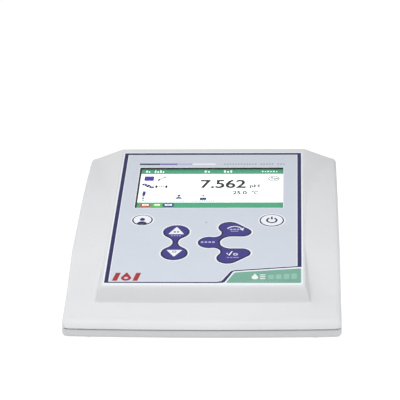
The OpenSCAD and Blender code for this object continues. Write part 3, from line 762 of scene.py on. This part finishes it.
def arrow_keys():
    ground = group_ground(ARROWS_HOLE)
    x, s = ARROW_X, KEY_ROW + ARROW_RISE
    up = rounded([(x - 4.7, s - 2.8, 0.4), (x + 4.7, s - 2.8, 0.4), (x, s + 5.9, 0.4)], n=4)
    dots = [(NAVY, disc(x + t * 0.95, s - 0.2, 0.72, 20)) for t in (-1, 1)]
    dashes = [(LILAC, rect(x + t - 0.5, s - 5.0, x + t + 0.5, s - 4.2)) for t in (-2.4, -0.8, 0.8, 2.4)]
    key("key_up", "up_key", [*ground, (WHITE, up), *dots, *dashes], "key_violet")
    s = KEY_ROW - ARROW_RISE
    down = rounded([(x - 4.7, s + 3.4, 0.4), (x, s - 4.3, 0.4), (x + 4.7, s + 3.4, 0.4)], n=4)
    key("key_down", "down_key",
        [*ground, (WHITE, down), (TICK, disc(x, s + 1.4, 1.3, 24)), (WHITE, disc(x, s + 1.4, 0.6, 16))],
        "key_violet")


def lobe_keys():
    ground = group_ground(LOBES_HOLE)
    bars = [(LILAC, round_rect(x, KEY_ROW - 0.75, x + 1.5, KEY_ROW + 0.95, 0.3))
            for x in (-2.9, -0.7, 1.5, 3.7)]
    key("key_mode", "mode_key", ground + bars, "key_violet")
    x, s = 16.3, KEY_ROW + LOBE_PITCH
    swoop = np.concatenate([arc(x, s, 4.9, 25, 160, 28), arc(x, s, 4.05, 160, 25, 28)])
    head = np.array([[x + 3.0, s + 1.3], [x + 5.6, s + 2.9], [x + 4.9, s - 0.5]])
    marks = [(LILAC, round_rect(x + t - 0.75, s + 0.3, x + t + 0.75, s + 1.7, 0.3)) for t in (-2, 0, 2)]
    marks += [(LILAC, rect(x - 2.2, s - 1.4, x + 2.2, s - 0.8))]
    key("key_escape", "escape_key", [*ground, (WHITE, swoop), (WHITE, head), *marks], "key_violet")
    s = KEY_ROW - LOBE_PITCH
    tick = band([(12.5, s + 1.6), (13.8, s - 0.9), (15.6, s + 3.6)], [0.9, 1.2, 0.7])
    loop = [(WHITE, disc(17.6, s + 0.2, 1.35, 28)), (VIOLET, disc(17.6, s + 0.2, 0.75, 20))]
    marks = [(LILAC, rect(x, s - 3.7, x + 1.3, s - 3.0)) for x in (12.8, 14.7, 16.6, 18.2)]
    key("key_ok", "ok_key", [*ground, (WHITE, tick), *loop, *marks], "key_violet")


# ---------------------------------------------------------------- screen

WINDOW_T = 1.3
LCD_LOW, LCD_HIGH = box_mm("lcd_panel")
LCD_PAST_WINDOW = 5.7
LCD_T = 3.2
LCD_ROOM = 0.2
HEADER = 6.3
FOOTER = 6.6
HEADER_SIGNS = 130.4
# The screen lies SCREEN_DROP under the film, so a sign seen at S from the front is drawn SIGHT higher
SCREEN_DROP = 1.4
SIGHT = 2.4
READING_BOLD = 0.021
WINDOW_X0, WINDOW_S0 = WINDOW_HOLE.min(0)
WINDOW_X1, WINDOW_S1 = WINDOW_HOLE.max(0)


def screen_layers():
    """The lit picture without its readings: header and footer bars, and the small signs."""
    x0, x1 = WINDOW_X0 - 2, WINDOW_X1 + 2
    left = WINDOW_X0 + 0.9
    top, foot = WINDOW_S1 + 0.6, WINDOW_S0 + SIGHT
    lit = [(SCREEN_EDGE, rect(x0 - 2, foot - 6, x1 + 1, top + 4)),
           (SCREEN_WHITE, rect(left, foot - 0.2, x1, top)),
           (SCREEN_GREEN, rect(left, top - HEADER, x1, top)),
           (SCREEN_GREEN, rect(left, foot - SIGHT, x1, foot + FOOTER))]

    def up(s):
        """Where a sign seen at s is drawn."""
        return s + SIGHT

    lit.append((SCREEN_BLUE, round_rect(-41.2, up(118.4), -35.3, up(124.2), 0.8)))
    lit += [(SCREEN_NAVY, disc(x, up(121.3), 0.9, 12)) for x in (-39.5, -37.2)]
    curve = [(-32.6 + t * 4.8, up(118.6 + 5 * t ** 0.6)) for t in np.linspace(0, 1, 9)]
    lit.append((SCREEN_INK, band(curve, [1.3, 1.2, 0.8, 0.6, 0.6, 0.6, 0.9, 1.2, 1.2])))
    for x, s in ((-39.8, 112.6), (-36.9, 110.3)):
        wave = [(x - 1.8 + 3.6 * t, up(s + 1.5 * math.sin(2 * math.pi * t) + t)) for t in
                np.linspace(0, 1, 12)]
        lit.append((SCREEN_NAVY, band(wave, 1.7)))
    lit += [(SCREEN_INK, oval(x, up(111), 0.8, 1.7, 16)) for x in (-33.2, -27.1)]
    lit += [(SCREEN_INK, disc(x, up(111), 0.5, 10)) for x in (-31.2, -30.1, -29)]
    lit.append((SCREEN_NAVY, round_rect(-41.2, up(100.3), -39.3, up(105.2), 0.5)))
    lit += [(SCREEN_INK, rect(-41.1, up(s), -39.7, up(s + 1.1))) for s in (93.6, 95.5, 97.4, 99.2)]
    head, shoulders = user_icon(-18.8, up(99.6), 2.1)
    lit += [(SCREEN_NAVY, head), (SCREEN_NAVY, shoulders),
            (SCREEN_NAVY, round_rect(-5.9, up(94.2), -1.9, up(97.3), 0.4)),
            (SCREEN_INK, disc(-3.9, up(99.4), 0.8, 14))]
    lit += [(SCREEN_SHADE, rect(x, up(92.4), x + 0.95, up(93.6))) for x in
            (*np.arange(-21.4, -15.5, 1.3), *np.arange(-10.4, 2.4, 1.4))]
    lit += [(SCREEN_SHADE, oval(38.7, up(121.2), 3.5, 3.3)),
            (SCREEN_WHITE, oval(38.7, up(121.2), 2.9, 2.5)),
            (SCREEN_SHADE, disc(37.6, up(121.9), 0.9, 14)),
            (SCREEN_NAVY, disc(39.2, up(120.6), 0.8, 12)),
            (SCREEN_SHADE, disc(40.5, up(121.3), 0.8, 14))]
    pills = ((SCREEN_RED, -41.6, -35.3), (SCREEN_LIME, -34.1, -28.6), (SCREEN_NAVY, -27.9, -21.2))
    for ink, a, b in pills:
        lit += [(ink, round_rect(a, up(85.9), b, up(90.2), 1)),
                (SCREEN_WHITE, round_rect(a + 1.1, up(87.5), b - 1.1, up(89.2), 0.6)),
                (ink, rect(a + 2.0, up(88.1), b - 2.0, up(88.6)))]
    signs = ((-40.7, -37.6, 2.6), (-35.4, -28.8, 3.0), (-4.4, -0.2, 2.4), (7.7, 13.6, 2.6), (31.2, 41.6, 1.5))
    for a, b, tall in signs:
        n = round((b - a) / 1.7)
        w = (b - a) / n
        middle = up(HEADER_SIGNS)
        lit += [(SCREEN_WHITE, round_rect(a + i * w, middle - tall / 2, a + (i + 0.55) * w,
                                          middle + tall * (0.5, 0.15)[i % 2], 0.3)) for i in range(n)]
    return lit


def screen():
    edge = rect(LCD_LOW.x, WINDOW_S0 - LCD_PAST_WINDOW, LCD_HIGH.x, WINDOW_S1 + LCD_PAST_WINDOW)
    sheet("screen_module", edge, [(SCREEN_EDGE, edge), *screen_layers()], -SCREEN_DROP,
          -SCREEN_DROP - LCD_T, bevel=0.1, replaces=["lcd_panel"], slot="lcd_glass")


def reading(name, text, x0, s0, x1, s1):
    """Digits or a unit as thin raised solids that fill a box on the screen, where it is seen."""
    curve = bpy.data.curves.new(name, "FONT")
    curve.body = text
    curve.offset = READING_BOLD
    curve.extrude = 0.01
    o = link(name, curve)
    data = bpy.data.meshes.new_from_object(o.evaluated_get(bpy.context.evaluated_depsgraph_get()))
    bpy.data.objects.remove(o)
    bm = bmesh.new()
    bm.from_mesh(data)
    bmesh.ops.remove_doubles(bm, verts=bm.verts, dist=1e-5)
    low = Vector(map(min, zip(*(v.co for v in bm.verts))))
    high = Vector(map(max, zip(*(v.co for v in bm.verts))))
    for v in bm.verts:
        v.co.x = x0 + (v.co.x - low.x) / (high.x - low.x) * (x1 - x0)
        v.co.y = SIGHT + s0 + (v.co.y - low.y) / (high.y - low.y) * (s1 - s0)
        v.co.z = -SCREEN_DROP + (0.04 if v.co.z > 0 else 0.005)
    return piece(name, bm, [SCREEN_INK], slot="lcd_glass", place=PANEL)


def readings():
    reading("reading_value", "7.562", -6.2, 109.1, 21.6, 119.7)
    reading("reading_unit", "pH", 24.0, 108.8, 30.0, 113.8)
    reading("temperature_value", "25.0", 13.8, 101.2, 22.4, 105.6)
    reading("temperature_unit", "°C", 25.4, 101.2, 29.4, 105.8)


def window():
    """Clear plate in the screen's opening, with a black liner round its edge."""
    hole = rect(WINDOW_X0, WINDOW_S0, WINDOW_X1, WINDOW_S1)
    sheet("window_liner", grown(hole, -0.005), [(SCREEN_EDGE, hole)], -0.03, -WINDOW_T,
          [grown(hole, -0.06)], slot="holder_grey")
    sheet("window_plate", grown(hole, -0.07), [(CLEAR, hole)], 0, -WINDOW_T + 0.1,
          bevel=0.08, replaces=["display_window"], slot="window_clear")


# ---------------------------------------------------------------- case shells

# Cuts in the upper shell: the keypad's pocket under the film, the rear panel's seat and its opening
POCKET_W, POCKET_S0, POCKET_S1, POCKET_DEEP = 94, 16, 78.4, 1.7
SEAT_X, SEAT_Z0, SEAT_Z1, SEAT_DEEP = 64, 9, 46, 1.2
OPENING_X, OPENING_Z0, OPENING_Z1 = 54, 14, 38

# Case screws, and the base's bosses that they pass through
SCREW_X = 66
SCREW_D = (36, 150)
SCREW_HEAD_R = 3.1
SCREW_R = 1.7
BOSS_R = 5.2
FOOT_R = 6


def upper_shell():
    """The raised-panel shell, hollow, with its pockets and openings cut in."""
    bm = case_solid(0, SEAM, EDGE_R, 0, TOP_GRID)
    lcd_s0 = WINDOW_S0 - LCD_PAST_WINDOW - LCD_ROOM
    lcd_s1 = WINDOW_S1 + LCD_PAST_WINDOW + LCD_ROOM
    back = FRONT + DEPTH
    cutters = [
        case_solid(WALL, SEAM - 4, 0.3, WALL, CAVITY_GRID),
        prism(FILM_EDGE, -FILM_T, 4, PANEL),
        prism(rect(-POCKET_W / 2, POCKET_S0, POCKET_W / 2, POCKET_S1), -POCKET_DEEP, 1, PANEL),
        prism(rect(WINDOW_X0, WINDOW_S0, WINDOW_X1, WINDOW_S1), -6, 2, PANEL),
        prism(rect(LCD_LOW.x - LCD_ROOM, lcd_s0, LCD_HIGH.x + LCD_ROOM, lcd_s1), -9, -SCREEN_DROP, PANEL),
        prism(rect(-SEAT_X, back - SEAT_DEEP, SEAT_X, back + 4), SEAT_Z0, SEAT_Z1),
        prism(rect(-OPENING_X, back - 8, OPENING_X, back + 4), OPENING_Z0, OPENING_Z1)]
    piece("case_top", cut(bm, cutters), [CASE], replaces=["upper_housing"], slot="case_grey", sharp=32)


def lower_shell():
    """Shallow tray: a thin step round its lower edge, a straight face, and a rolled rim."""
    z0, z1 = BASE_LOW.z, BASE_HIGH.z
    step = [(0.85, z0), (0.65, z0 + 0.12), (0.6, z0 + 0.92), (0.12, z0 + 1), (0, z0 + 1.12)]
    rim = [(0, z1 - 1.3), (0.05, z1 - 0.8), (0.25, z1 - 0.35), (0.6, z1 - 0.08), (0.85, z1)]
    inside = [(WALL, z1), (WALL, z0 + 2.7), (WALL + 0.3, z0 + WALL)]
    bm = bmesh.new()
    rings = [[bm.verts.new((p[0], p[1] + FRONT, z)) for p in grown(OUTLINE, -inset)]
             for inset, z in step + rim + inside]
    walls(bm, rings)
    bm.faces.new(rings[0][::-1])
    bm.faces.new(rings[-1])
    bmesh.ops.recalc_face_normals(bm, faces=bm.faces)
    screws = [(side * SCREW_X, FRONT + d) for side in (-1, 1) for d in SCREW_D]
    bosses = [prism(disc(x, y, BOSS_R, 40), z0 + 2, z1) for x, y in screws]
    cutters = [prism(disc(x, y, SCREW_HEAD_R, 40), 0, 5.0) for x, y in screws]
    cutters += [prism(disc(x, y, SCREW_R, 32), 0, 12) for x, y in screws]
    low, high = box_mm("rating_label")
    cutters.append(prism(rect(low.x - 1, low.y - 1, high.x + 1, high.y + 1), 0, z0 + 0.25))
    bm = cut(cut(bm, bosses, "UNION"), cutters)
    piece("case_bottom", bm, [BASE], replaces=["lower_housing"], slot="case_base", sharp=32)


def feet():
    """Moulded feet with a dished underside."""
    low, high = box_mm("rubber_feet")
    r, top = FOOT_R, high.z - 0.01
    profile = [(0, 0.5), (2.6, 0.5), (3.1, 0.06), (3.6, 0), (r - 1.5, 0), (r - 0.8, 0.25),
               (r - 0.25, 0.8), (r, 1.5), (r, top), (0, top)]
    for sx, side in ((-1, "left"), (1, "right")):
        for y, end in ((low.y + r, "front"), (high.y - r, "rear")):
            place = Matrix.Translation((sx * (high.x - r), y, 0))
            foot = piece(f"foot_{end}_{side}", lathe(profile, place), [RUBBER], slot="foot_rubber")
            if (end, side) == ("front", "left"):
                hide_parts("rubber_feet")


# ---------------------------------------------------------------- CAD nodes that stay, and their finish

FINISH = {
    SEAL: ["housing_seal"],
    STEEL: ["housing_screws", "panel_screws", "lcd_screws", "board_screws", "clock_battery",
            "key_domes", "ph_socket_washer"],
    FOIL: ["rating_label"],
    REAR: ["rear_panel"],
    IVORY: ["membrane_spacer", "membrane_circuit", "keypad_connector", "ph_socket_insulator",
            "temperature_insulator", "usb_tongue"],
    LENS: ["status_led"],
    BLACK: ["lcd_frame", "board_chips", "buzzer", "reference_insulator", "power_jack"],
    AMBER: ["lcd_ribbon"],
    BOARD: ["main_board", "socket_board"],
    TIN: ["input_shield", "battery_clip", "usb_socket"],
    RIBBON: ["board_ribbon"],
    BRASS: ["board_posts", "ph_socket_contact", "reference_socket", "temperature_contact"],
    NICKEL: ["ph_socket_shell", "ph_socket_nut", "reference_nut", "temperature_socket", "power_pin"],
}


def finish_nodes():
    for finish, names in FINISH.items():
        for name in names:
            for place in frame["nodes"][name].material_slots:
                place.material = finish


# ---------------------------------------------------------------- stage, light and camera


def stage():
    """A floor that gives off light, so that it stays white without lighting the case too much."""
    floor_mesh = bpy.data.meshes.new("floor")
    bm = bmesh.new()
    bmesh.ops.create_grid(bm, x_segments=2, y_segments=2, size=6)
    bm.to_mesh(floor_mesh)
    bm.free()
    floor_mesh.materials.append(
        material("floor_paper", (130, 130, 130), 0.002, (0.9, 0.95), 3, 400, 0.01,
                 Specular_IOR_Level=0.0, Emission_Color=(1, 1, 1, 1), Emission_Strength=0.92))
    link("floor", floor_mesh)
    world = bpy.data.worlds.new("studio")
    world.use_nodes = True
    background = world.node_tree.nodes["Background"]
    background.inputs["Color"].default_value = (0.98, 0.99, 1, 1)
    background.inputs["Strength"].default_value = 0.5
    bpy.context.scene.world = world


def softbox(name, at, aim, size, power):
    """A rectangular light at a place, turned towards another; places and sizes in m."""
    data = bpy.data.lights.new(name, "AREA")
    data.shape = "RECTANGLE"
    data.size, data.size_y = size
    data.energy = power
    lamp = link(name, data)
    lamp.location = at
    lamp.rotation_euler = (Vector(aim) - Vector(at)).to_track_quat("-Z", "Y").to_euler()


def lights():
    softbox("near_light", (-0.04, -0.19, 0.4), (-0.04, -0.17, 0), (0.4, 0.3), 1.1)
    softbox("left_light", (-1.2, 0.3, 0.9), (0, 0, 0.03), (0.9, 0.9), 5.2)
    softbox("right_light", (1.1, -0.5, 0.25), (0, 0, 0.03), (0.6, 0.4), 1.8)


def camera():
    """Eye at the photograph's place: a long lens, a little right of the middle, looking down."""
    eye = Vector((0.05289, -1.09917, 0.32416))
    yaw, pitch, roll = (math.radians(a) for a in (2.99, -13.63, -0.76))
    data = bpy.data.cameras.new("camera")
    data.sensor_width = 36
    data.lens = 171.96
    data.clip_start, data.clip_end = 0.05, 20
    o = link("camera", data)
    turn = Matrix.Rotation(yaw, 4, "Z") @ Matrix.Rotation(math.radians(90) + pitch, 4, "X")
    o.matrix_world = Matrix.Translation(eye) @ turn @ Matrix.Rotation(roll, 4, "Z")
    bpy.context.scene.camera = o
    bpy.context.scene.view_settings.view_transform = "Standard"


def build():
    finish_nodes()
    upper_shell()
    lower_shell()
    feet()
    printed_film()
    round_keys()
    arrow_keys()
    lobe_keys()
    screen()
    readings()
    window()
    stage()
    lights()
    camera()


build()
